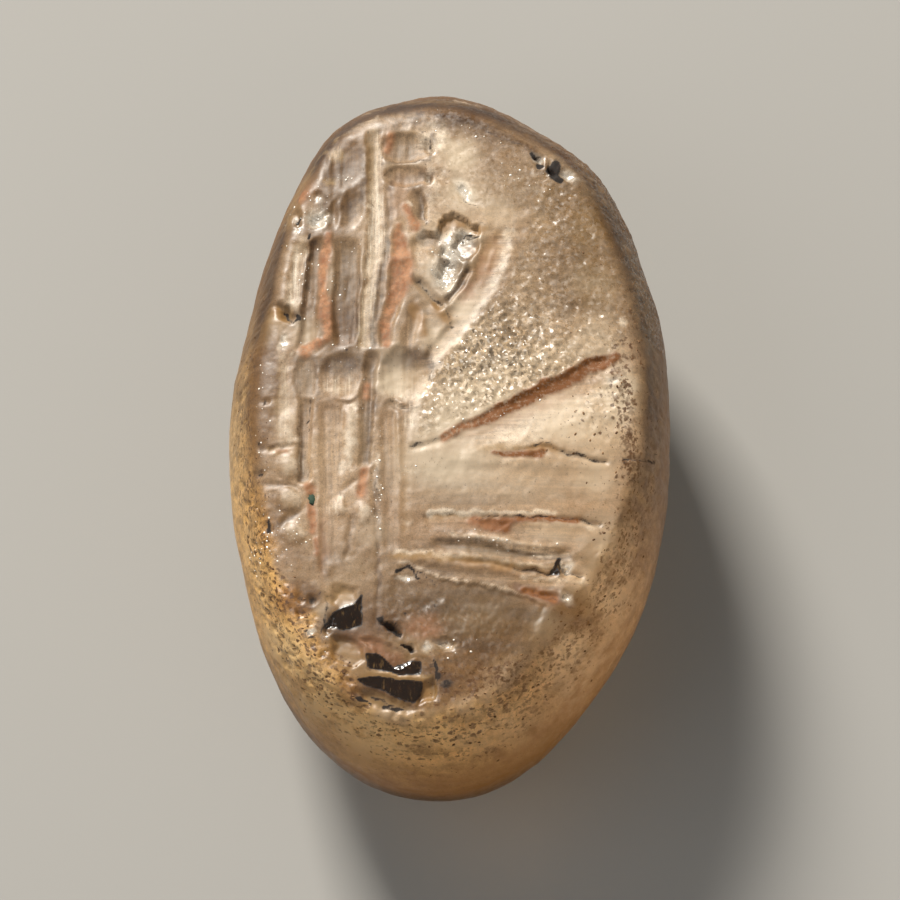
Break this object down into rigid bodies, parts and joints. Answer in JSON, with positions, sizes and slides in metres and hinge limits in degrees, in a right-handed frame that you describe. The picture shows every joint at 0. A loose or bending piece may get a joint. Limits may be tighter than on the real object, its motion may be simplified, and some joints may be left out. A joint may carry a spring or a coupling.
{
  "type": "rock crystal stamp seal",
  "caption": "Worn oval stamp seal of rock crystal with a rounded back and an intaglio face of robed figures and spreading rays.",
  "frame": {"origin": "on the ground, under the middle of the stone, which lies on its rounded back", "axes": "+Z out of the engraved face, +Y along the oval towards the figures' heads, +X across it towards the rays"},
  "size_m": [0.0146, 0.0248, 0.0091],
  "materials": {
    "rock_crystal": "smoky honey rock crystal, worn and pitted, with earth left in the cuts"
  },
  "bodies": {
    "root": {"seal": "rock_crystal"}
  },
  "joints": []
}
